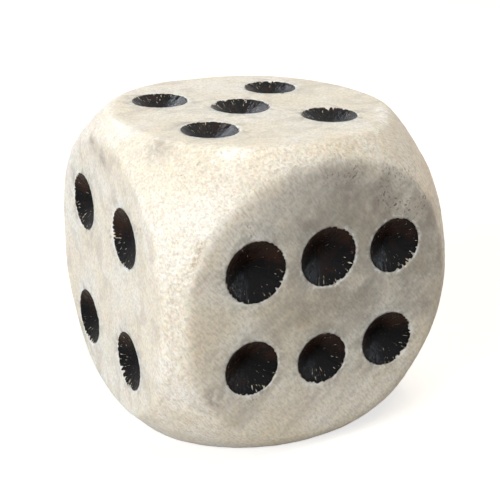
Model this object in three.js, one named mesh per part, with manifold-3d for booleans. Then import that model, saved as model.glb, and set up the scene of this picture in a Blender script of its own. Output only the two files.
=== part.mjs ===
import * as THREE from 'three';
import { mergeGeometries, mergeVertices } from 'three/addons/utils/BufferGeometryUtils.js';
import Module from 'manifold-3d';

// A gaming die cut from solid bone, tumbled round and drilled by hand, standing on its two.
// Lengths are in millimetres, +Z is up, and the origin is the middle of the face that it rests on.
// The six looks to the front (-Y), the four to the left (-X) and the five up.

// The bone
const EDGE = 16; // across opposite flats
const FLAT_RADIUS = 7.05; // of the flat that is left on each face
const FULLNESS = 2.175; // 2 rounds the bone into a ball, and a larger power leaves fuller corners
const WORN_RIM = 0.35; // how near the flat and the round come before wear blends them

// The pips, drilled with the bare point of a drill
const PIP_RADIUS = 1.45; // at the face
const DRILL_POINT_ANGLE = 118; // in degrees, from wall to wall

// The pigment in each pip
const PIGMENT_THICKNESS = 0.12;
const PIGMENT_POOL = 0.06; // how much deeper it lies in the tip of the drilled cone
const PIGMENT_CLEARANCE = 0.03; // between it and the bone
const PIGMENT_SETBACK = 0.03; // of its rim under the surface of the bone

// Spacing of the outer columns and rows of pips on each face
const TWO_ACROSS = 6.4;
const TWO_UP = 6.2;
const THREE_ACROSS = 6.5;
const THREE_UP = 6.4;
const FOUR_ACROSS = 5.85;
const FOUR_UP = 6.65;
const FIVE_ACROSS = 6.65;
const FIVE_UP = 6.2;
const SIX_ACROSS = 7.7;
const SIX_UP = 5.15;

const BONE_COLOUR = 0xd9d1c3;
const PIGMENT_COLOUR = 0x15110f;

// Facets
const FACE_SECTORS = 56; // a multiple of 8, so that one sector ends at each corner
const RIM_STEPS = 4; // across the worn rim of a flat
const ROUND_STEPS = 6; // from the worn rim to the edge of the cube
const PIP_SEGMENTS = 36;
const STEP_ROOM = 0.02; // the least share of a sector that each step keeps
const SAME_POINT = 1e-4;

const HALF_EDGE = EDGE / 2;
const ROUND_REACH = (HALF_EDGE ** FULLNESS + FLAT_RADIUS ** FULLNESS) ** (1 / FULLNESS);
const DRILL_HALF_ANGLE = THREE.MathUtils.degToRad(DRILL_POINT_ANGLE / 2);

const X = new THREE.Vector3(1, 0, 0);
const Y = new THREE.Vector3(0, 1, 0);
const Z = new THREE.Vector3(0, 0, 1);

// One pip: its column and row, how far the drill strayed from them across and up,
// and how much wider than the others it came out.
function pip(column, row, strayAcross = 0, strayUp = 0, wider = 0) {
  return { column, row, strayAcross, strayUp, wider };
}

// Each face is seen from outside, and drift is how far its whole pattern sits off the middle.
const FACES = [
  {
    name: 'one', across: X.clone().negate(), up: Z, spacing: [0, 0], drift: [0.1, -0.15],
    pips: { centre: pip(0, 0) },
  },
  {
    name: 'two', across: X, up: Y.clone().negate(), spacing: [TWO_ACROSS, TWO_UP], drift: [0.1, 0],
    pips: { front_left: pip(-1, 1, 0, -0.1), back_right: pip(1, -1, 0.1, 0, -0.05) },
  },
  {
    name: 'three', across: Y, up: Z, spacing: [THREE_ACROSS, THREE_UP], drift: [0.1, -0.1],
    pips: { lower_front: pip(-1, -1), middle: pip(0, 0, -0.1, 0.1), upper_back: pip(1, 1, 0, 0, 0.05) },
  },
  {
    name: 'four', across: Y.clone().negate(), up: Z, spacing: [FOUR_ACROSS, FOUR_UP], drift: [-0.3, -0.4],
    pips: {
      upper_back: pip(-1, 1, 0, 0.05, 0.05),
      upper_front: pip(1, 1, -0.05, 0, 0.05),
      lower_back: pip(-1, -1, 0, 0, 0.05),
      lower_front: pip(1, -1, 0.05, 0.05, 0.05),
    },
  },
  {
    name: 'five', across: X, up: Y, spacing: [FIVE_ACROSS, FIVE_UP], drift: [-0.3, 0.05],
    pips: {
      back_left: pip(-1, 1, 0, -0.1),
      back_right: pip(1, 1, 0, 0.1, -0.05),
      centre: pip(0, 0, 0, 0.2, 0.05),
      front_left: pip(-1, -1, 0, -0.05, -0.05),
      front_right: pip(1, -1, 0, -0.05, -0.05),
    },
  },
  {
    name: 'six', across: X, up: Z, spacing: [SIX_ACROSS, SIX_UP], drift: [0.2, -0.1],
    pips: {
      upper_left: pip(-1, 1, 0.05, -0.05, 0.1),
      upper_middle: pip(0, 1, 0.1, 0.05, 0.05),
      upper_right: pip(1, 1, 0, 0, -0.05),
      lower_left: pip(-1, -1, -0.1, 0.15, -0.05),
      lower_middle: pip(0, -1, -0.05, -0.2, -0.1),
      lower_right: pip(1, -1, -0.1, 0.05),
    },
  },
];

const wasm = await Module();
wasm.setup();

// Turns a closed geometry into a solid, without the slivers that a lathe leaves on its axis.
function toSolid(geometry) {
  const bare = geometry.clone();
  bare.deleteAttribute('normal');
  bare.deleteAttribute('uv');
  const merged = mergeVertices(bare, SAME_POINT);
  const corners = merged.getIndex().array;
  const triangles = [];
  for (let i = 0; i < corners.length; i += 3) {
    const [a, b, c] = corners.slice(i, i + 3);
    if (a !== b && b !== c && c !== a) {
      triangles.push(a, b, c);
    }
  }
  const vertProperties = new Float32Array(merged.getAttribute('position').array);
  return new wasm.Manifold(new wasm.Mesh({ numProp: 3, vertProperties, triVerts: new Uint32Array(triangles) }));
}

function toGeometry(solid) {
  const { vertProperties, triVerts } = solid.asOriginal().simplify(SAME_POINT).getMesh();
  const geometry = new THREE.BufferGeometry();
  geometry.setAttribute('position', new THREE.BufferAttribute(vertProperties, 3));
  geometry.setIndex(new THREE.BufferAttribute(triVerts, 1));
  geometry.computeVertexNormals();
  return geometry;
}

// How far the round lies above a point of the cube, along the ray from the middle of the die.
function roundAbove(point) {
  const powers = Math.abs(point.x) ** FULLNESS + Math.abs(point.y) ** FULLNESS + Math.abs(point.z) ** FULLNESS;
  return point.length() * (ROUND_REACH / powers ** (1 / FULLNESS) - 1);
}

// Brings a point of the cube down to the bone: the lower of flat and round, blended where they meet.
function toBone(point, setback) {
  const above = roundAbove(point);
  const nearness = Math.max(1 - Math.abs(above) / WORN_RIM, 0);
  const lowered = Math.max(-above, 0) + (nearness ** 2 * WORN_RIM) / 4;
  return point.clone().setLength(point.length() - lowered - setback);
}

function outwardOf(face) {
  return new THREE.Vector3().crossVectors(face.across, face.up);
}

// The point of the cube that lies at these distances from the middle of one face.
function onCube(face, across, up) {
  return outwardOf(face).multiplyScalar(HALF_EDGE).addScaledVector(face.across, across).addScaledVector(face.up, up);
}

// How far out along one sector the round comes down to the given height above the cube.
function distanceToHeight(face, angle, height, limit) {
  let near = 0;
  let far = limit;
  while (far - near > SAME_POINT) {
    const middle = (near + far) / 2;
    const point = onCube(face, middle * Math.cos(angle), middle * Math.sin(angle));
    if (roundAbove(point) > height) {
      near = middle;
    } else {
      far = middle;
    }
  }
  return near;
}

// The distances along one sector, from the end of the flat, over its worn rim, to the edge of the cube.
function sectorSteps(face, angle) {
  const cubeEdge = HALF_EDGE / Math.max(Math.abs(Math.cos(angle)), Math.abs(Math.sin(angle)));
  const steps = [];
  for (let i = 0; i <= RIM_STEPS; i++) {
    const stepsLeft = RIM_STEPS - i + ROUND_STEPS;
    const height = WORN_RIM * (1 - (2 * i) / RIM_STEPS);
    const distance = distanceToHeight(face, angle, height, cubeEdge);
    steps.push(Math.min(distance, cubeEdge * (1 - STEP_ROOM * stepsLeft)));
  }
  const rimEnd = steps[RIM_STEPS];
  for (let i = 1; i <= ROUND_STEPS; i++) {
    steps.push(rimEnd + ((cubeEdge - rimEnd) * i) / ROUND_STEPS);
  }
  return steps;
}

// The sixth of the bone that lies over one face, as rings of points about its middle.
function facePatch(face, setback) {
  const positions = [...toBone(onCube(face, 0, 0), setback)];
  for (let sector = 0; sector < FACE_SECTORS; sector++) {
    const angle = (sector * 2 * Math.PI) / FACE_SECTORS;
    for (const distance of sectorSteps(face, angle)) {
      const point = onCube(face, distance * Math.cos(angle), distance * Math.sin(angle));
      positions.push(...toBone(point, setback));
    }
  }

  const rings = RIM_STEPS + ROUND_STEPS + 1;
  const corner = (sector, ring) => 1 + (sector % FACE_SECTORS) * rings + ring;
  const triangles = [];
  for (let sector = 0; sector < FACE_SECTORS; sector++) {
    triangles.push(0, corner(sector, 0), corner(sector + 1, 0));
    for (let ring = 0; ring < rings - 1; ring++) {
      const inner = corner(sector, ring);
      const outer = corner(sector, ring + 1);
      const nextInner = corner(sector + 1, ring);
      const nextOuter = corner(sector + 1, ring + 1);
      triangles.push(inner, outer, nextOuter, inner, nextOuter, nextInner);
    }
  }

  const geometry = new THREE.BufferGeometry();
  geometry.setAttribute('position', new THREE.Float32BufferAttribute(positions, 3));
  geometry.setIndex(triangles);
  return geometry;
}

// The rounded blank before drilling, about its own middle.
function bonePiece(setback) {
  return toSolid(mergeGeometries(FACES.map((face) => facePatch(face, setback))));
}

// A solid turned about Z from a profile of [radius, height] corners.
function turned(profile) {
  const points = profile.map(([radius, height]) => new THREE.Vector2(radius, height));
  return toSolid(new THREE.LatheGeometry(points, PIP_SEGMENTS).rotateX(Math.PI / 2));
}

// The radius at the face and the depth of one drilled cone.
function drilledCone(place) {
  const radius = PIP_RADIUS + place.wider;
  return { radius, depth: radius / Math.tan(DRILL_HALF_ANGLE) };
}

// The drill's point, carried on as far above the face as it goes below.
function drillPoint(place) {
  const { radius, depth } = drilledCone(place);
  return turned([[0, -depth], [2 * radius, depth], [0, depth]]);
}

// A cup of pigment along the drilled wall, pooled at its tip and open above the face.
function pigmentCup(place) {
  const { depth } = drilledCone(place);
  const slope = Math.tan(DRILL_HALF_ANGLE);
  const outerTip = -depth + PIGMENT_CLEARANCE / Math.sin(DRILL_HALF_ANGLE);
  const innerTip = outerTip + PIGMENT_THICKNESS / Math.sin(DRILL_HALF_ANGLE);
  const pool = innerTip + PIGMENT_POOL;
  const top = outerTip + 2 * depth;
  return turned([
    [0, outerTip],
    [(top - outerTip) * slope, top],
    [(top - innerTip) * slope, top],
    [(pool - innerTip) * slope, pool],
    [0, pool],
  ]);
}

// A frame that stands on a face of the die, with +X across it, +Y up it and +Z outward.
function faceFrame(face) {
  const frame = new THREE.Group();
  const outward = outwardOf(face);
  frame.quaternion.setFromRotationMatrix(new THREE.Matrix4().makeBasis(face.across, face.up, outward));
  frame.position.copy(outward).multiplyScalar(HALF_EDGE);
  return frame;
}

function pipPosition(face, place) {
  const across = face.drift[0] + (place.column * face.spacing[0]) / 2 + place.strayAcross;
  const up = face.drift[1] + (place.row * face.spacing[1]) / 2 + place.strayUp;
  return new THREE.Vector3(across, up, 0);
}

const die = new THREE.Group();
die.position.z = HALF_EDGE;

const skin = bonePiece(PIGMENT_SETBACK);
let bone = bonePiece(0);

for (const face of FACES) {
  const frame = faceFrame(face);
  die.add(frame);
  for (const [name, place] of Object.entries(face.pips)) {
    const material = new THREE.MeshStandardMaterial({ color: PIGMENT_COLOUR, roughness: 0.3, metalness: 0 });
    const lining = new THREE.Mesh(undefined, material);
    lining.name = `pip_${face.name}_${name}`;
    lining.position.copy(pipPosition(face, place));
    frame.add(lining);

    frame.updateMatrix();
    lining.updateMatrix();
    const pipToDie = frame.matrix.clone().multiply(lining.matrix);
    const dieToPip = pipToDie.clone().invert();
    bone = bone.subtract(drillPoint(place).transform(pipToDie.elements));
    lining.geometry = toGeometry(pigmentCup(place).intersect(skin.transform(dieToPip.elements)));
  }
}

const boneMaterial = new THREE.MeshStandardMaterial({ color: BONE_COLOUR, roughness: 0.5, metalness: 0 });
const body = new THREE.Mesh(toGeometry(bone), boneMaterial);
body.name = 'die_body';
die.add(body);

export default die;
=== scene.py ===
import math

import bpy
import numpy as np
from mathutils import Matrix, Vector


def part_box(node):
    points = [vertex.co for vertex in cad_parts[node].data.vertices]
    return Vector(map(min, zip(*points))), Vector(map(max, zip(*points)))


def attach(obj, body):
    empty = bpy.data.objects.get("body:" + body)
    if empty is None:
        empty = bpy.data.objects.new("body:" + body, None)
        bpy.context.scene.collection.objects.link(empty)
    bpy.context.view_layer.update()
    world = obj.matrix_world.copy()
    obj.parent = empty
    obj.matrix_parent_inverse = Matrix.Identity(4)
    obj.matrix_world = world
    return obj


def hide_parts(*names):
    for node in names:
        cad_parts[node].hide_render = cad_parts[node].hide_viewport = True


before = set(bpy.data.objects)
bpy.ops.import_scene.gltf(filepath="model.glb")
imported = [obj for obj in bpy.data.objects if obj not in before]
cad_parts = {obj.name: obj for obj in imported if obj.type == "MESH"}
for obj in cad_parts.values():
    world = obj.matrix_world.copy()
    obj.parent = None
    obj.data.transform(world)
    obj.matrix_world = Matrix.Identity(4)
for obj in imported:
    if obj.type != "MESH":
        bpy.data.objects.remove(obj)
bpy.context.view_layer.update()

# A hand-made die of solid bone: a filed and worn body with drilled pips, and the black pigment in each pip.
# Shapes are worked out in millimetres about the middle of the die, and placed in metres in the frame.

MM = 0.001
LOW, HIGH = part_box("die_body")
CENTRE = (LOW + HIGH) / 2
HALF = (HIGH.z - LOW.z) / 2 / MM

# The bone: flats and rounds as in the frame, and a narrower worn rim where they meet
FLAT_RADIUS = 7.05
FULLNESS = 2.175
WORN_RIM = 0.22
ROUND_REACH = (HALF ** FULLNESS + FLAT_RADIUS ** FULLNESS) ** (1 / FULLNESS)

# The drilled pips: placed and sloped as in the frame, and wider by the bare rim
PIP_RADIUS = 1.45
DRILL_SLOPE = math.tan(math.radians(59))
BARE_RIM = 0.07  # the ring of bone that shows round the pigment

# Rings of the drill's shape: each one's share of the recess's radius, and of the chips in its rim
DRILL_PROFILE = [(0.5, 0.0), (0.88, 0.1), (0.95, 0.5), (1.0, 1.0), (1.03, 1.3), (1.2, 1.3)]

# The pigment's heights along a pip's axis, in millimetres
PIGMENT_GAP = 0.012  # between it and the bone
PIGMENT_FILM = 0.035
PIGMENT_POOL = 0.12  # the level of its pool over the film at the tip, before the two are blended
PIGMENT_COVER = 0.03  # how far it reaches past the pip's radius before it frays

# How far the real rounding stands out or falls short, in millimetres, towards these corners and edges
LUMPS = [
    ((0.87, -0.1, 0.98), 0.13),
    ((0.99, -0.6, 0.68), -0.09),
    ((-0.99, 0.0, -0.88), -0.09),
    ((-0.75, -0.5, -0.97), 0.06),
    ((0.6, -0.91, -0.8), 0.05),
    ((0.85, -0.9, -0.5), -0.05),
]
LUMP_SPREAD = 0.2  # in radians

# Pores and marks of use, each with its place from the middle of the die and its reach, in millimetres
PITTED = [
    ((1.4, -8.0, 6.5), 0.5), ((0.3, -8.0, 6.5), 0.4), ((3.5, -8.0, 6.3), 0.5), ((4.7, -7.7, 5.9), 0.6),
    ((3.3, -8.0, 5.2), 0.7), ((4.0, -8.0, 4.7), 0.6), ((4.7, -8.0, 4.2), 0.7), ((5.7, -7.9, 4.6), 0.6),
    ((5.6, -6.8, 6.3), 0.4), ((-8.0, -0.8, 2.4), 0.35), ((-8.0, -1.3, 1.8), 0.3), ((-8.0, -4.6, 4.0), 0.4),
    ((-4.1, -8.0, 4.5), 0.4), ((-3.7, -8.0, -4.3), 0.2), ((2.4, 7.9, 3.0), 0.8), ((7.9, 1.5, -3.0), 0.7),
    ((-2.0, 3.5, -8.0), 0.8),
]
SMUDGED = [
    ((2.4, -8.0, 2.1), 0.7), ((1.1, -8.0, 5.6), 0.9), ((6.1, -8.0, -1.2), 0.7), ((-5.7, -8.0, -3.7), 0.8),
    ((-1.3, -8.0, 2.6), 0.5), ((6.0, -8.0, 3.8), 0.8), ((-0.8, -8.0, 4.4), 0.8), ((2.9, -8.0, 4.8), 1.0),
    ((-6.5, -3.7, 7.5), 0.7), ((-8.0, 0.1, 6.2), 0.5), ((-8.0, 1.5, 6.7), 0.5), ((7.5, 3.0, 5.0), 1.0),
    ((3.0, 8.0, -3.5), 1.2), ((2.0, -3.5, -8.0), 1.2),
]
# Pale scuffs; those along the top's front and right boundaries are painted highlights standing in for glints
CHALKY_AND_GLINTS = [
    ((-4.3, -6.2, 7.7), 0.35), ((-3.9, -6.4, 7.7), 0.4), ((-3.5, -6.5, 7.7), 0.35), ((4.9, -5.2, 7.95), 0.3),
    ((5.4, -4.4, 7.9), 0.35), ((5.8, -3.5, 7.9), 0.4), ((3.7, -6.3, 7.9), 0.2), ((-6.5, -7.7, 3.8), 0.25),
    ((6.3, 5.0, 7.0), 0.6), ((-5.0, 7.0, -6.0), 0.6),
]
SCRATCH = ((-6.28, -7.75, 4.2), (-6.62, -7.8, 3.3))  # a pitted scratch, from end to end
SCRATCH_REACH = 0.16
HALO_REACH = 0.5  # of the dirt round a pip
RIM_REACH = 0.07  # of the fresh bone at a pip's rim

GRID = 104
FLAT_SHARE = 0.78  # of the grid's rings, on the flat
PIP_SEGMENTS = 216
PIGMENT_RINGS = 22
SHARP_ANGLE = math.radians(50)  # edges sharper than this aren't shaded smooth

# Where the pigment has frayed away from the rim most, by face
FRAYED = {"five": (-0.6, 1.6, 0.0), "six": (0.4, 0.0, -0.65), "four": (0.0, 0.5, -0.8)}

X, Y, Z = np.eye(3)


def pip(column, row, stray_across=0.0, stray_up=0.0, wider=0.0):
    """One pip: its column and row, how far the drill strayed from them, and how much wider it came out."""
    return column, row, stray_across, stray_up, wider


# Each face seen from outside: its directions across and up, the spacing of its outer pips,
# how far its pattern drifted off the middle, and its pips.
FACES = {
    "one": (-X, Z, (0, 0), (0.1, -0.15), {"centre": pip(0, 0)}),
    "two": (X, -Y, (6.4, 6.2), (0.1, 0), {
        "front_left": pip(-1, 1, 0, -0.1),
        "back_right": pip(1, -1, 0.1, 0, -0.05),
    }),
    "three": (Y, Z, (6.5, 6.4), (0.1, -0.1), {
        "lower_front": pip(-1, -1),
        "middle": pip(0, 0, -0.1, 0.1),
        "upper_back": pip(1, 1, 0, 0, 0.05),
    }),
    "four": (-Y, Z, (5.85, 6.65), (-0.3, -0.4), {
        "upper_back": pip(-1, 1, 0, 0.05, 0.05),
        "upper_front": pip(1, 1, -0.05, 0, 0.05),
        "lower_back": pip(-1, -1, 0, 0, 0.05),
        "lower_front": pip(1, -1, 0.05, 0.05, 0.05),
    }),
    "five": (X, Y, (6.65, 6.2), (-0.3, 0.05), {
        "back_left": pip(-1, 1, 0, -0.1),
        "back_right": pip(1, 1, 0, 0.1, -0.05),
        "centre": pip(0, 0, 0, 0.2, 0.05),
        "front_left": pip(-1, -1, 0, -0.05, -0.05),
        "front_right": pip(1, -1, 0, -0.05, -0.05),
    }),
    "six": (X, Z, (7.7, 5.15), (0.2, -0.1), {
        "upper_left": pip(-1, 1, 0.05, -0.05, 0.1),
        "upper_middle": pip(0, 1, 0.1, 0.05, 0.05),
        "upper_right": pip(1, 1, 0, 0, -0.05),
        "lower_left": pip(-1, -1, -0.1, 0.15, -0.05),
        "lower_middle": pip(0, -1, -0.05, -0.2, -0.1),
        "lower_right": pip(1, -1, -0.1, 0.05),
    }),
}


def pips():
    """Each pip's node name, its middle at the face, its directions across, up and outward, and its radius."""
    for face, (across, up, spacing, drift, places) in FACES.items():
        outward = np.cross(across, up)
        for name, (column, row, stray_across, stray_up, wider) in places.items():
            u = drift[0] + column * spacing[0] / 2 + stray_across
            v = drift[1] + row * spacing[1] / 2 + stray_up
            middle = HALF * outward + u * across + v * up
            yield f"pip_{face}_{name}", middle, (across, up, outward), PIP_RADIUS + wider


# Repeatable unevenness

def corner_value(cell, seed):
    """A number from -1 to 1 for each whole-number corner of space."""
    mask = 0xFFFFFFFF
    mixed = (cell[..., 0] * 73856093) ^ (cell[..., 1] * 19349663) ^ (cell[..., 2] * 83492791) ^ (seed * 40503)
    mixed = ((mixed & mask) * 1274126177) & mask
    mixed = ((mixed ^ (mixed >> 15)) * 668265263) & mask
    return (mixed >> 8) / float(1 << 23) - 1


def noise(points, size, seed):
    """Smooth noise from -1 to 1, with blobs of about this size."""
    scaled = np.asarray(points, float) / size + 1000.0
    cell = np.floor(scaled).astype(np.int64)
    part = scaled - cell
    ease = part * part * (3 - 2 * part)
    total = 0.0
    for i in (0, 1):
        for j in (0, 1):
            for k in (0, 1):
                weight = np.ones(len(scaled))
                for axis, bit in enumerate((i, j, k)):
                    weight = weight * (ease[:, axis] if bit else 1 - ease[:, axis])
                total = total + weight * corner_value(cell + np.array((i, j, k)), seed)
    return total


def layered(points, size, seed, layers=3):
    """Noise with finer and weaker layers added."""
    total = 0.0
    for layer in range(layers):
        total = total + noise(points, size / 2 ** layer, seed + 11 * layer) / 2 ** layer
    return total / (2 - 2 ** (1 - layers))


def smooth(values, low, high):
    """Eases from 0 at low to 1 at high."""
    share = np.clip((values - low) / (high - low), 0, 1)
    return share * share * (3 - 2 * share)


# The bone

def lumps(points):
    """How far the real rounding stands out from the even one, towards each point."""
    unit = points / np.linalg.norm(points, axis=1)[:, None]
    total = np.zeros(len(points))
    for direction, height in LUMPS:
        towards = np.array(direction) / np.linalg.norm(direction)
        angle = np.arccos(np.clip(unit @ towards, -1, 1))
        total += height * np.exp(-((angle / LUMP_SPREAD) ** 2))
    return total


def round_above(points):
    """How far the round lies above each point of the cube, along its ray."""
    lengths = np.linalg.norm(points, axis=1)
    fullness = (np.abs(points) ** FULLNESS).sum(1) ** (1 / FULLNESS)
    return lengths * (ROUND_REACH / fullness - 1) + lumps(points) + 0.05 * noise(points, 2.6, 3)


def worn_surface(points):
    """Brings points of the cube down to the filed and worn bone."""
    above = round_above(points)
    worn = WORN_RIM * (1 + 0.5 * noise(points, 1.7, 5))
    nearness = np.clip(1 - np.abs(above) / worn, 0, 1)
    lowered = np.maximum(-above, 0) + nearness ** 2 * worn / 4
    filed = smooth(-above, -0.05, 0.25)
    pebbled = 0.022 * layered(points, 0.42, 21) + 0.03 * noise(points, 1.3, 31)
    sanded = 0.006 * noise(points, 2.2, 41) + 0.003 * layered(points, 0.5, 43)
    lengths = np.linalg.norm(points, axis=1)
    surface = lengths - lowered + filed * pebbled + (1 - filed) * (sanded - 0.008)
    return points * (surface / lengths)[:, None]


def face_grid(across, up):
    """Points of one face of the cube, in square rings that turn round over the flat."""
    steps = np.linspace(-1, 1, GRID + 1)
    s, t = np.meshgrid(steps, steps, indexing="ij")
    ring = np.maximum(np.abs(s), np.abs(t))
    safe = np.where(ring == 0, 1, ring)
    turn = np.pi / 4
    sideways = np.abs(s) >= np.abs(t)
    angle = np.where(
        sideways,
        turn * t / safe * np.sign(s) + np.where(s < 0, np.pi, 0),
        np.pi / 2 * np.sign(t) - turn * s / safe * np.sign(t),
    )
    cos, sin = np.cos(angle), np.sin(angle)
    edge = HALF / np.maximum(np.abs(cos), np.abs(sin))
    flat = FLAT_RADIUS / (np.abs(cos) ** FULLNESS + np.abs(sin) ** FULLNESS) ** (1 / FULLNESS)
    outer = flat + (edge - flat) * (ring - FLAT_SHARE) / (1 - FLAT_SHARE)
    radius = np.where(ring <= FLAT_SHARE, flat * ring / FLAT_SHARE, outer)
    u, v = (radius * cos).ravel(), (radius * sin).ravel()
    return HALF * np.cross(across, up) + u[:, None] * across + v[:, None] * up


def bone_blank():
    """The closed, undrilled body: its points and its four-sided faces."""
    sheets = [face_grid(across, up) for across, up, *_ in FACES.values()]
    points = np.concatenate(sheets)
    _, first, same = np.unique(np.round(points, 5), axis=0, return_index=True, return_inverse=True)
    row, column = np.meshgrid(np.arange(GRID), np.arange(GRID), indexing="ij")
    corner = (row * (GRID + 1) + column).ravel()
    quad = np.stack([corner, corner + GRID + 1, corner + GRID + 2, corner + 1], 1)
    count = (GRID + 1) ** 2
    quads = np.concatenate([quad + count * i for i in range(len(sheets))])
    return worn_surface(points[first]), same.reshape(-1)[quads]


def to_object(name, points, faces):
    """Makes a mesh object in the frame from points in millimetres about the middle of the die."""
    mesh = bpy.data.meshes.new(name)
    placed = np.asarray(points) * MM + np.array(CENTRE)
    mesh.from_pydata(placed.tolist(), [], [list(map(int, face)) for face in faces])
    mesh.update()
    made = bpy.data.objects.new(name, mesh)
    bpy.context.scene.collection.objects.link(made)
    return made


def polar_faces(rings, segments, start=0):
    """Four-sided faces between rings of points that grow outward, each turned to face up."""
    faces = []
    for ring in range(rings - 1):
        for i in range(segments):
            j = (i + 1) % segments
            a, b = start + ring * segments, start + (ring + 1) * segments
            faces.append((a + i, b + i, b + j, a + j))
    return faces


def on_pip(middle, axes, local):
    """Places points across, up and outward from a pip about the middle of the die."""
    return middle + local @ np.array(axes)


def unit_circle():
    angles = np.arange(PIP_SEGMENTS) * 2 * np.pi / PIP_SEGMENTS
    return np.stack([np.cos(angles), np.sin(angles), 0 * angles], 1)


def rim_chips(ring):
    """How far the drill broke out of the rim at each point: fine teeth, and a few larger chips."""
    teeth = 0.035 * noise(ring, 0.1, 50) * (1 + noise(ring, 1.1, 55))
    uneven = 0.025 * noise(ring, 0.9, 60)
    chips = 0.09 * smooth(noise(ring, 0.3, 70), 0.35, 0.8)
    return teeth + uneven + chips


def drill(middle, axes, radius):
    """The closed shape that the drill takes out, running on above the face."""
    lip = radius + BARE_RIM
    circle = unit_circle()
    chips = rim_chips(on_pip(middle, axes, radius * circle))
    local = []
    for share, chipped in DRILL_PROFILE:
        ring = (lip * share + chipped * chips)[:, None] * circle
        ring[:, 2] = (lip * share - lip) / DRILL_SLOPE
        local.append(ring)
    tip = np.array([[0, 0, -lip / DRILL_SLOPE]])
    cap = np.array([[0, 0, 0.3 * lip]])
    points = on_pip(middle, axes, np.concatenate(local + [tip, cap]))
    rings = len(DRILL_PROFILE)
    tip_at, cap_at, last = rings * PIP_SEGMENTS, rings * PIP_SEGMENTS + 1, (rings - 1) * PIP_SEGMENTS
    faces = [face[::-1] for face in polar_faces(rings, PIP_SEGMENTS)]
    for i in range(PIP_SEGMENTS):
        j = (i + 1) % PIP_SEGMENTS
        faces.append((tip_at, j, i))
        faces.append((cap_at, last + i, last + j))
    return points, faces


def joined_drills():
    """The drills of all the pips as one cutter. They lie clear of each other."""
    points, faces, count = [], [], 0
    for _, middle, axes, radius in pips():
        some_points, some_faces = drill(middle, axes, radius)
        points.append(some_points)
        faces += [tuple(count + corner for corner in face) for face in some_faces]
        count += len(some_points)
    return to_object("drills", np.concatenate(points), faces)


def cut(piece, cutter):
    """Takes the cutter out of the piece, and removes the cutter."""
    modifier = piece.modifiers.new("drilled", "BOOLEAN")
    modifier.operation = "DIFFERENCE"
    modifier.solver = "MANIFOLD"
    modifier.object = cutter
    bpy.context.view_layer.update()
    shape = piece.evaluated_get(bpy.context.evaluated_depsgraph_get())
    mesh = bpy.data.meshes.new_from_object(shape)
    piece.modifiers.remove(modifier)
    piece.data = mesh
    bpy.data.objects.remove(cutter)


def shade_smooth(piece):
    piece.data.shade_smooth()
    piece.data.set_sharp_from_angle(angle=SHARP_ANGLE)


def points_of(piece):
    """The piece's points in millimetres about the middle of the die."""
    values = np.empty(len(piece.data.vertices) * 3)
    piece.data.vertices.foreach_get("co", values)
    return (values.reshape(-1, 3) - np.array(CENTRE)) / MM


def paint(piece, name, values):
    """Keeps one number a vertex, for the material to read."""
    attribute = piece.data.attributes.new(name, "FLOAT", "POINT")
    attribute.data.foreach_set("value", np.asarray(values, np.float32))


def paint_place(piece, name, places):
    """Keeps one place a vertex, for a material's texture to lie along."""
    attribute = piece.data.attributes.new(name, "FLOAT_VECTOR", "POINT")
    attribute.data.foreach_set("vector", np.asarray(places, np.float32).ravel())


def nearest_mark(points, marks):
    """How strongly the strongest of these marks shows at each point."""
    strongest = np.zeros(len(points))
    for place, reach in marks:
        away = np.linalg.norm(points - np.array(place), axis=1)
        strongest = np.maximum(strongest, np.exp(-((away / reach) ** 2)))
    return strongest


def paint_round_pips(piece, points):
    """Marks the dirt that has spread round each pip, and the fresh bone at its chipped rim."""
    halo = np.zeros(len(points))
    rim = np.zeros(len(points))
    for _, middle, axes, radius in pips():
        local = (points - middle) @ np.array(axes).T
        away = np.hypot(local[:, 0], local[:, 1]) - radius
        off_face = np.abs(local[:, 2])
        near = (off_face < 1.2) * (away < 2)
        halo = np.maximum(halo, near * np.exp(-np.maximum(away, 0) / HALO_REACH))
        rim = np.maximum(rim, (off_face < 0.4) * np.exp(-(((away - BARE_RIM) / RIM_REACH) ** 2)))
    paint(piece, "halo", halo)
    paint(piece, "rim", rim)


def paint_scratch(piece, points):
    start, end = (np.array(place) for place in SCRATCH)
    along = np.clip((points - start) @ (end - start) / ((end - start) @ (end - start)), 0, 1)
    away = np.linalg.norm(points - start - along[:, None] * (end - start), axis=1)
    paint(piece, "scratch", np.exp(-((away / SCRATCH_REACH) ** 2)))


def paint_patina_and_shade(piece, points):
    """Marks the dulled patch of the front, partly painted shade, which fades out with an uneven edge."""
    from_middle = np.hypot(points[:, 0] - 2.2, points[:, 2] - 2.3) + 1.0 * noise(points, 2.5, 17)
    paint(piece, "grubby_and_shaded", smooth(-points[:, 1], 7.5, 7.95) * smooth(-from_middle, -7.2, -3.4))


def paint_wear(piece):
    """Marks where the bone is filed round, and where it is stained by pigment and handling."""
    points = points_of(piece)
    on_cube = points * (HALF / np.abs(points).max(1))[:, None]
    paint(piece, "filed", smooth(-round_above(on_cube), -0.1, 0.3))
    paint_round_pips(piece, points)
    for name, marks in (("pitted", PITTED), ("smudged", SMUDGED), ("chalky_and_glints", CHALKY_AND_GLINTS)):
        paint(piece, name, nearest_mark(points, marks))
    paint_scratch(piece, points)
    paint_patina_and_shade(piece, points)


# The pigment

def fray(node, rim, axes, circle):
    """How far the pigment has worn back from the rim at each angle."""
    towards = np.array(FRAYED.get(node.split("_")[1], (0.0, 0.0, 0.0)))
    side = smooth(circle @ np.array(axes) @ towards, 0.1, 1.1)
    loose = smooth(noise(rim, 0.8, 83), -0.3, 0.8)
    teeth = smooth(noise(rim, 0.085, 85), -0.2, 0.7)
    return 0.015 + teeth * (0.03 + 0.13 * side * loose + 0.05 * loose)


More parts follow.
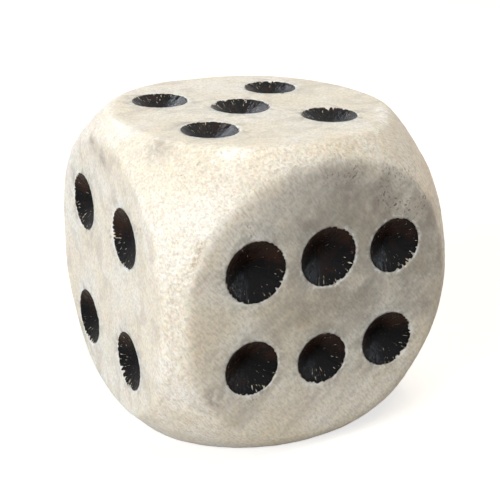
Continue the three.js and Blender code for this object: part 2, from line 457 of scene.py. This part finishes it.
def drill_marks(where, circle, reach, share):
    """The relief that the drill left: streaks on the outer wall, fine rings, and grain."""
    streaks = noise(np.concatenate([circle[:, :2] * 11, (0.5 * reach)[:, None]], 1), 1.0, 91)
    rings = np.sin(reach * 38 + 2 * noise(where, 0.8, 93))
    grain = layered(where, 0.14, 95)
    lumpy = smooth(np.array([share]), 0.25, 0.8)
    return 0.024 * lumpy * streaks + 0.003 * rings + 0.014 * grain


def pigment_face(middle, axes, lip, top, circle):
    """Rings up the face of the pigment that shows, from its pool to its thin rim."""
    floor = -lip / DRILL_SLOPE + PIGMENT_GAP + PIGMENT_FILM + PIGMENT_POOL
    rings = []
    for share in np.linspace(0, 1, PIGMENT_RINGS + 1)[1:]:
        reach = top * share ** 0.8
        ring = reach[:, None] * circle
        fade = np.clip((1 - share) * 10, 0, 1)
        relief = fade * drill_marks(on_pip(middle, axes, ring), circle, reach, share)
        film = PIGMENT_FILM * (0.4 + 0.6 * fade)
        height = (reach - lip) / DRILL_SLOPE + PIGMENT_GAP + film + relief
        height = np.maximum(height, height * 0.25 + floor * 0.75)
        ring[:, 2] = np.minimum(height, -0.004)
        rings.append(ring)
    return rings


def pigment_back(lip, top, circle):
    """Rings up the hidden face of the pigment, along the drilled wall."""
    rings = []
    for share in (0.3, 0.93):
        ring = (top * share)[:, None] * circle
        ring[:, 2] = (top * share - lip) / DRILL_SLOPE + PIGMENT_GAP
        rings.append(ring)
    return rings


def pigment_shell(node, middle, axes, radius):
    """A thin closed cup of pigment along the drilled wall, with a frayed rim and the marks of the drill."""
    lip = radius + BARE_RIM
    circle = unit_circle()
    rim = on_pip(middle, axes, radius * circle)
    top = radius + PIGMENT_COVER - fray(node, rim, axes, circle)
    upper = pigment_face(middle, axes, lip, top, circle)
    lower = pigment_back(lip, top, circle)
    upper_tip = np.array([[0, 0, upper[0][:, 2].mean() - 0.002]])
    lower_tip = np.array([[0, 0, -lip / DRILL_SLOPE + PIGMENT_GAP]])
    rings = upper + lower[::-1]
    points = on_pip(middle, axes, np.concatenate(rings + [upper_tip, lower_tip]))
    faces = polar_faces(len(rings), PIP_SEGMENTS)
    last = (len(rings) - 1) * PIP_SEGMENTS
    tip_at = len(rings) * PIP_SEGMENTS
    for i in range(PIP_SEGMENTS):
        j = (i + 1) % PIP_SEGMENTS
        faces.append((tip_at, i, j))
        faces.append((tip_at + 1, last + j, last + i))
    return points, faces


def paint_pigment(piece, node, middle, axes, radius):
    """Marks where bone dust has caught, how high in the pip each point lies, and a place for streaks."""
    local = (points_of(piece) - middle) @ np.array(axes).T
    reach = np.hypot(local[:, 0], local[:, 1])
    towards = np.array(FRAYED.get(node.split("_")[1], (0.3, 0.3, 0.3)))
    side = (local[:, :2] / np.maximum(reach, 0.01)[:, None]) @ np.array(axes)[:2] @ towards
    paint(piece, "dusty", smooth(reach / radius, 0.3, 0.95) * smooth(side, 0.0, 1.1))
    paint(piece, "upward", smooth((local[:, :2] @ np.array(axes)[:2])[:, 2] / radius, -0.4, 0.9))
    on_rim = local[:, :2] * (radius / np.maximum(reach, 0.05))[:, None]
    paint_place(piece, "drilled", np.concatenate([on_rim, 0.3 * reach[:, None]], 1) + middle)


# Materials

class Nodes:
    """A material's node tree, with short ways to add to it."""

    def __init__(self, name):
        self.material = bpy.data.materials.new(name)
        self.material.use_nodes = True
        self.tree = self.material.node_tree
        self.tree.nodes.clear()
        self.shader = self.tree.nodes.new("ShaderNodeBsdfPrincipled")
        output = self.tree.nodes.new("ShaderNodeOutputMaterial")
        self.tree.links.new(self.shader.outputs["BSDF"], output.inputs["Surface"])

    def put(self, socket, value):
        if isinstance(value, bpy.types.NodeSocket):
            self.tree.links.new(value, socket)
        else:
            socket.default_value = value

    def millimetres(self):
        place = self.tree.nodes.new("ShaderNodeTexCoord")
        return self.vector("SCALE", place.outputs["Object"], scale=1 / MM)

    def vector(self, operation, value, other=None, scale=None):
        node = self.tree.nodes.new("ShaderNodeVectorMath")
        node.operation = operation
        self.put(node.inputs[0], value)
        if other is not None:
            self.put(node.inputs[1], other)
        if scale is not None:
            node.inputs["Scale"].default_value = scale
        return node.outputs["Vector"]

    def turned(self, value, angles):
        node = self.tree.nodes.new("ShaderNodeMapping")
        self.put(node.inputs["Vector"], value)
        node.inputs["Rotation"].default_value = [math.radians(angle) for angle in angles]
        return node.outputs["Vector"]

    def noise(self, place, size, detail=2.0, rough=0.5, twist=0.0):
        node = self.tree.nodes.new("ShaderNodeTexNoise")
        self.put(node.inputs["Vector"], place)
        node.inputs["Scale"].default_value = 1 / size
        node.inputs["Detail"].default_value = detail
        node.inputs["Roughness"].default_value = rough
        node.inputs["Distortion"].default_value = twist
        return node.outputs["Fac"]

    def between(self, value, low, high, start=0.0, end=1.0):
        """Turns values from low to high into values from start to end, and holds those outside."""
        node = self.tree.nodes.new("ShaderNodeMapRange")
        node.interpolation_type = "SMOOTHSTEP"
        self.put(node.inputs["Value"], value)
        for name, number in (("From Min", low), ("From Max", high), ("To Min", start), ("To Max", end)):
            node.inputs[name].default_value = number
        return node.outputs["Result"]

    def math(self, operation, first, second=0.0):
        node = self.tree.nodes.new("ShaderNodeMath")
        node.operation = operation
        self.put(node.inputs[0], first)
        self.put(node.inputs[1], second)
        return node.outputs["Value"]

    def mixed(self, share, first, second, blend="MIX"):
        node = self.tree.nodes.new("ShaderNodeMix")
        node.data_type = "RGBA"
        node.blend_type = blend
        self.put(node.inputs["Factor"], share)
        self.put(node.inputs[6], first)
        self.put(node.inputs[7], second)
        return node.outputs[2]

    def painted(self, name, output="Fac"):
        node = self.tree.nodes.new("ShaderNodeAttribute")
        node.attribute_name = name
        return node.outputs[output]

    def bump(self, height, distance, strength=1.0, under=None):
        node = self.tree.nodes.new("ShaderNodeBump")
        self.put(node.inputs["Height"], height)
        node.inputs["Distance"].default_value = distance
        self.put(node.inputs["Strength"], strength)
        if under is not None:
            self.put(node.inputs["Normal"], under)
        return node.outputs["Normal"]


CREAM = (0.80, 0.725, 0.595, 1)
WHITE_BONE = (0.85, 0.81, 0.735, 1)
# Pale chalky bone, and the colour of painted highlights and glints
CHALK_AND_GLINT = (0.96, 0.94, 0.88, 1)
GREY_VEIN = (0.50, 0.45, 0.385, 1)
WARM_SHADE = (0.66, 0.555, 0.43, 1)
TAN = (0.50, 0.36, 0.22, 1)
DIRT = (0.10, 0.075, 0.055, 1)
SMUDGE = (0.30, 0.26, 0.225, 1)
PATINA_AND_SHADE = (0.56, 0.555, 0.555, 1)  # what is left of the colour where hands have dulled it, and painted shade on the front


def bone_grain(n, place, filed):
    """The bone's own colour: cream and white clouds, and grey veins that run along it."""
    along = n.vector("MULTIPLY", n.turned(place, (0, 41, 0)), (0.16, 1.0, 1.0))
    clouds = n.noise(place, 3.4, 3, 0.55)
    veins = n.noise(along, 1.3, 4, 0.55, 0.6)
    fine_veins = n.noise(along, 0.4, 3, 0.6, 0.3)
    colour = n.mixed(n.between(clouds, 0.35, 0.65), CREAM, WHITE_BONE)
    veined = n.math("MULTIPLY", n.between(veins, 0.48, 0.66), n.between(filed, 0.0, 1.0, 0.5, 0.12))
    colour = n.mixed(veined, colour, GREY_VEIN)
    colour = n.mixed(n.between(fine_veins, 0.5, 0.8, 0.0, 0.32), colour, GREY_VEIN)
    return along, colour


def bone_pores(n, along):
    """Thin dark pores: many where the bone is pitted, and a few elsewhere."""
    pitted = n.painted("pitted")
    dots = n.noise(n.vector("MULTIPLY", along, (5.0, 1.0, 1.0)), 0.14, 1, 0.5)
    dense = n.math("MULTIPLY", n.between(dots, 0.60, 0.66), pitted)
    stray = n.math("MULTIPLY", n.between(dots, 0.72, 0.77), n.between(n.noise(along, 1.2, 2, 0.5), 0.5, 0.62))
    return n.math("MAXIMUM", dense, n.math("MULTIPLY", stray, 0.5))


def pebbled_rounds(n, colour, filed, pebbles):
    """The filed rounds, with painted highlight on the tops of their pebbling and painted shade in its
    hollows.
    """
    # painted highlight on the tops of the pebbling, which follows the same noise as its bump
    painted_highlight = n.math("MULTIPLY", filed, n.between(pebbles, 0.46, 0.68, 0.0, 0.38))
    colour = n.mixed(painted_highlight, colour, CHALK_AND_GLINT)
    # painted shade in the hollows of the pebbling
    painted_shade = n.math("MULTIPLY", filed, n.between(pebbles, 0.48, 0.30, 0.0, 0.42))
    return n.mixed(painted_shade, colour, WARM_SHADE)


def file_strokes(n, place, colour, strokes):
    """Dark and pale strokes of the file, with fine mottling and pale flecks."""
    colour = n.mixed(n.between(strokes, 0.56, 0.34, 0.0, 0.5), colour, GREY_VEIN)
    colour = n.mixed(n.between(strokes, 0.54, 0.72, 0.0, 0.35), colour, WHITE_BONE)
    mottling = n.between(n.noise(place, 0.25, 4, 0.7), 0.54, 0.36, 0.0, 0.36)
    colour = n.mixed(mottling, colour, GREY_VEIN)
    flecks = n.between(n.noise(place, 0.09, 1, 0.5), 0.70, 0.76, 0.0, 0.7)
    return n.mixed(n.math("MULTIPLY", flecks, n.between(n.noise(place, 1.1), 0.45, 0.65)), colour, CHALK_AND_GLINT)


def handling(n, place, colour):
    """Tan stains, the patina and painted shade of the front, the dirt round the pips, and smears."""
    colour = n.mixed(n.between(n.noise(place, 2.0, 3, 0.6), 0.60, 0.78, 0.0, 0.2), colour, TAN)
    cloudy = n.noise(place, 1.5, 4, 0.62)
    # painted shade as well as patina: the middle of the front is dimmed, paler towards its edges
    grime_and_shade = n.math("MULTIPLY", n.painted("grubby_and_shaded"), n.between(cloudy, 0.36, 0.60, 0.45, 1.0))
    colour = n.mixed(grime_and_shade, colour, PATINA_AND_SHADE, "MULTIPLY")
    patchy = n.noise(place, 0.6, 4, 0.65)
    haze = n.math("MULTIPLY", n.painted("halo"), n.between(patchy, 0.44, 0.66, 0.0, 0.85))
    colour = n.mixed(haze, colour, SMUDGE)
    streaky = n.noise(place, 0.5, 4, 0.65)
    smears = n.math("MULTIPLY", n.painted("smudged"), n.between(streaky, 0.36, 0.6, 0.0, 0.8))
    return n.mixed(smears, colour, SMUDGE)


def small_marks(n, place, colour, scuffs, pores, scratch):
    """Chalky scuffs and painted glints, dirt in the pores and the scratch, and fresh bone at the rims of the
    pips.
    """
    # pale scuffs, partly painted glints
    chalky_and_glints = n.math("MULTIPLY", n.painted("chalky_and_glints"), n.between(scuffs, 0.38, 0.56))
    colour = n.mixed(chalky_and_glints, colour, CHALK_AND_GLINT)
    colour = n.mixed(n.math("MULTIPLY", pores, 0.8), colour, DIRT)
    colour = n.mixed(n.math("MULTIPLY", scratch, 0.8), colour, TAN)
    broken = n.between(n.noise(place, 0.35, 2, 0.6), 0.4, 0.65, 0.1, 0.8)
    return n.mixed(n.math("MULTIPLY", n.painted("rim"), broken), colour, CHALK_AND_GLINT)


def bone_gloss(n, place):
    """A satin surface that the light soaks into, glossier at the pale scuffs and painted glints."""
    rough = n.between(n.noise(place, 0.5, 3, 0.6), 0.3, 0.7, 0.38, 0.6)
    glossier = n.math("MULTIPLY", n.painted("chalky_and_glints"), 0.2)
    n.put(n.shader.inputs["Roughness"], n.math("SUBTRACT", rough, glossier))
    n.shader.inputs["Subsurface Weight"].default_value = 0.6
    n.shader.inputs["Subsurface Radius"].default_value = (1.0, 0.7, 0.45)
    n.shader.inputs["Subsurface Scale"].default_value = 1.8 * MM
    n.shader.inputs["IOR"].default_value = 1.5


def bone_relief(n, filed, scuffs, pebbles, strokes, pits):
    """Bumps from scuffs, pebbling and file strokes, and hollows at the pores and the scratch."""
    rubbed = n.bump(scuffs, 0.05 * MM, n.between(filed, 0.0, 1.0, 0.12, 0.6))
    pebbled = n.bump(pebbles, 0.09 * MM, n.between(filed, 0.0, 1.0, 0.1, 0.85), rubbed)
    filed_flat = n.bump(strokes, 0.02 * MM, 0.5, pebbled)
    n.put(n.shader.inputs["Normal"], n.bump(pits, 0.06 * MM, 0.9, filed_flat))


def bone_material():
    n = Nodes("bone")
    place = n.millimetres()
    filed = n.painted("filed")
    along, colour = bone_grain(n, place, filed)
    pebbles = n.noise(place, 0.17, 2, 0.55, 0.3)
    strokes = n.noise(n.vector("MULTIPLY", n.turned(place, (0, -52, 0)), (0.3, 1.0, 1.0)), 0.1, 2, 0.6)
    scuffs = n.noise(n.vector("MULTIPLY", n.turned(place, (25, 10, 60)), (0.35, 1.0, 1.0)), 0.16, 2, 0.6)
    pores = bone_pores(n, along)
    scratch = n.math("MULTIPLY", n.painted("scratch"), n.between(n.noise(place, 0.16, 2, 0.6), 0.42, 0.56))

    colour = pebbled_rounds(n, colour, filed, pebbles)
    colour = file_strokes(n, place, colour, strokes)
    colour = handling(n, place, colour)
    colour = small_marks(n, place, colour, scuffs, pores, scratch)
    n.put(n.shader.inputs["Base Color"], colour)
    bone_gloss(n, place)
    pits = n.math("MULTIPLY", n.math("ADD", pores, scratch), -1.0)
    bone_relief(n, filed, scuffs, pebbles, strokes, pits)
    return n.material


PIGMENT_BLACK = (0.0035, 0.0035, 0.0045, 1)
PIGMENT_BROWN = (0.022, 0.009, 0.006, 1)
BONE_DUST = (0.62, 0.54, 0.40, 1)


def pigment_material():
    """Black pigment, browner high in the pips of the sides, with bone dust in streaks along the wall."""
    n = Nodes("pigment")
    place = n.millimetres()
    tone = n.math("ADD", n.noise(place, 0.9, 3, 0.6), n.math("MULTIPLY", n.painted("upward"), 0.3))
    colour = n.mixed(n.between(tone, 0.5, 0.85), PIGMENT_BLACK, PIGMENT_BROWN)
    grains = n.noise(place, 0.08, 2, 0.6)
    torn = n.noise(n.painted("drilled", "Vector"), 0.09, 2, 0.6)
    dusty = n.math("ADD", torn, n.math("MULTIPLY", n.painted("dusty"), 0.085))
    colour = n.mixed(n.between(dusty, 0.69, 0.77, 0.0, 0.85), colour, BONE_DUST)
    n.put(n.shader.inputs["Base Color"], colour)
    n.put(n.shader.inputs["Roughness"], n.between(n.noise(place, 0.3, 3, 0.6), 0.3, 0.75, 0.13, 0.3))
    n.shader.inputs["Specular IOR Level"].default_value = 0.12
    n.put(n.shader.inputs["Normal"], n.bump(grains, 0.02 * MM, 0.6, n.bump(torn, 0.03 * MM, 0.7)))
    return n.material


# The scene around the die

FLOOR_LIFT = 0.68  # the brightness that the camera alone sees added to the floor
SKY_LEVEL = 0.11
LAMP_DISTANCE = 0.30


def plain_floor():
    """A pale floor, brightened for the camera alone so that it shows nearly white."""
    reach = 2.0
    mesh = bpy.data.meshes.new("floor")
    corners = [(-reach, -reach, 0), (reach, -reach, 0), (reach, reach, 0), (-reach, reach, 0)]
    mesh.from_pydata(corners, [], [(0, 1, 2, 3)])
    floor = bpy.data.objects.new("floor", mesh)
    floor.location.z = LOW.z
    bpy.context.scene.collection.objects.link(floor)
    material = bpy.data.materials.new("pale_floor")
    material.use_nodes = True
    tree = material.node_tree
    tree.nodes.clear()
    diffuse = tree.nodes.new("ShaderNodeBsdfDiffuse")
    diffuse.inputs["Color"].default_value = (0.52, 0.49, 0.45, 1)
    lift = tree.nodes.new("ShaderNodeEmission")
    lift.inputs["Color"].default_value = (1, 1, 1, 1)
    seen = tree.nodes.new("ShaderNodeLightPath")
    level = tree.nodes.new("ShaderNodeMath")
    level.operation = "MULTIPLY"
    level.inputs[1].default_value = FLOOR_LIFT
    both = tree.nodes.new("ShaderNodeAddShader")
    output = tree.nodes.new("ShaderNodeOutputMaterial")
    tree.links.new(seen.outputs["Is Camera Ray"], level.inputs[0])
    tree.links.new(level.outputs[0], lift.inputs["Strength"])
    tree.links.new(diffuse.outputs[0], both.inputs[0])
    tree.links.new(lift.outputs[0], both.inputs[1])
    tree.links.new(both.outputs[0], output.inputs["Surface"])
    mesh.materials.append(material)


def any_of(tree, sockets):
    """One where any of these is one."""
    found = sockets[0]
    for socket in sockets[1:]:
        larger = tree.nodes.new("ShaderNodeMath")
        larger.operation = "MAXIMUM"
        tree.links.new(found, larger.inputs[0])
        tree.links.new(socket, larger.inputs[1])
        found = larger.outputs[0]
    return found


def plain_world():
    """Soft sky light, seen as white behind the die and in its gloss."""
    world = bpy.data.worlds.new("studio")
    bpy.context.scene.world = world
    world.use_nodes = True
    tree = world.node_tree
    tree.nodes.clear()
    sky = tree.nodes.new("ShaderNodeBackground")
    sky.inputs["Color"].default_value = (0.93, 0.96, 1.0, 1)
    sky.inputs["Strength"].default_value = SKY_LEVEL
    white = tree.nodes.new("ShaderNodeBackground")
    white.inputs["Strength"].default_value = 1.0
    white.inputs["Color"].default_value = (1, 1, 1, 1)
    seen = tree.nodes.new("ShaderNodeLightPath")
    kinds = ("Is Camera Ray", "Is Glossy Ray", "Is Transmission Ray")
    mix = tree.nodes.new("ShaderNodeMixShader")
    output = tree.nodes.new("ShaderNodeOutputWorld")
    tree.links.new(any_of(tree, [seen.outputs[kind] for kind in kinds]), mix.inputs[0])
    tree.links.new(sky.outputs[0], mix.inputs[1])
    tree.links.new(white.outputs[0], mix.inputs[2])
    tree.links.new(mix.outputs[0], output.inputs["Surface"])


def lamp(name, direction, size, level, colour):
    """A soft square lamp. At level 1 it lights a facing surface so that its colour renders as written."""
    light = bpy.data.lights.new(name, "AREA")
    light.size = size
    light.energy = level * math.pi ** 2 * LAMP_DISTANCE ** 2
    light.color = colour
    made = bpy.data.objects.new(name, light)
    towards = Vector(direction).normalized()
    made.location = CENTRE + towards * LAMP_DISTANCE
    made.rotation_euler = towards.to_track_quat("Z", "Y").to_euler()
    bpy.context.scene.collection.objects.link(made)


def lights():
    lamp("window_left", (-0.89, -0.30, 0.36), 0.14, 1.02, (0.91, 0.95, 1.0))
    lamp("lamp_above", (0.10, -0.20, 0.97), 0.16, 0.60, (1.0, 0.93, 0.78))
    lamp("window_behind", (-0.1, 0.83, 0.55), 0.06, 0.22, (0.82, 0.9, 1.0))
    lamp("window_right", (0.93, -0.36, 0.12), 0.018, 0.09, (0.7, 0.85, 1.0))
    lamp("warm_right", (0.95, 0.25, -0.05), 0.10, 0.12, (1.0, 0.52, 0.3))


# The photograph's view
AZIMUTH = math.radians(-27.35)
ELEVATION = math.radians(22.15)
ROLL = math.radians(0.77)
DISTANCE = 58.6 * MM
AIM_RIGHT = 0.205 * MM
LENS = 77.55


def camera():
    back = Vector((
        math.sin(AZIMUTH) * math.cos(ELEVATION),
        -math.cos(AZIMUTH) * math.cos(ELEVATION),
        math.sin(ELEVATION),
    ))
    place = CENTRE + back * DISTANCE
    right = (-back).cross(Vector((0, 0, 1))).normalized()
    forward = (CENTRE + right * AIM_RIGHT - place).normalized()
    right = forward.cross(Vector((0, 0, 1))).normalized()
    up = right.cross(forward)
    rolled_right = right * math.cos(ROLL) + up * math.sin(ROLL)
    rolled_up = up * math.cos(ROLL) - right * math.sin(ROLL)
    data = bpy.data.cameras.new("camera")
    data.lens = LENS
    data.sensor_width = 36
    data.clip_start = 0.001
    made = bpy.data.objects.new("camera", data)
    turn = Matrix((rolled_right, rolled_up, -forward)).transposed().to_4x4()
    made.matrix_world = Matrix.Translation(place) @ turn
    bpy.context.scene.collection.objects.link(made)
    bpy.context.scene.camera = made


# The pieces of the die

def make_bone(material):
    body = to_object("worn_bone_body", *bone_blank())
    cut(body, joined_drills())
    shade_smooth(body)
    paint_wear(body)
    body.data.materials.clear()
    body.data.materials.append(material)
    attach(body, "root")
    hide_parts("die_body")


def make_pigment(material):
    for node, middle, axes, radius in pips():
        piece = to_object("pigment_" + node, *pigment_shell(node, middle, axes, radius))
        paint_pigment(piece, node, middle, axes, radius)
        shade_smooth(piece)
        piece.data.materials.append(material)
        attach(piece, "root")
        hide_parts(node)


camera()
plain_floor()
plain_world()
lights()
make_bone(bone_material())
make_pigment(pigment_material())
bpy.context.scene.view_settings.view_transform = "Standard"
bpy.context.view_layer.update()
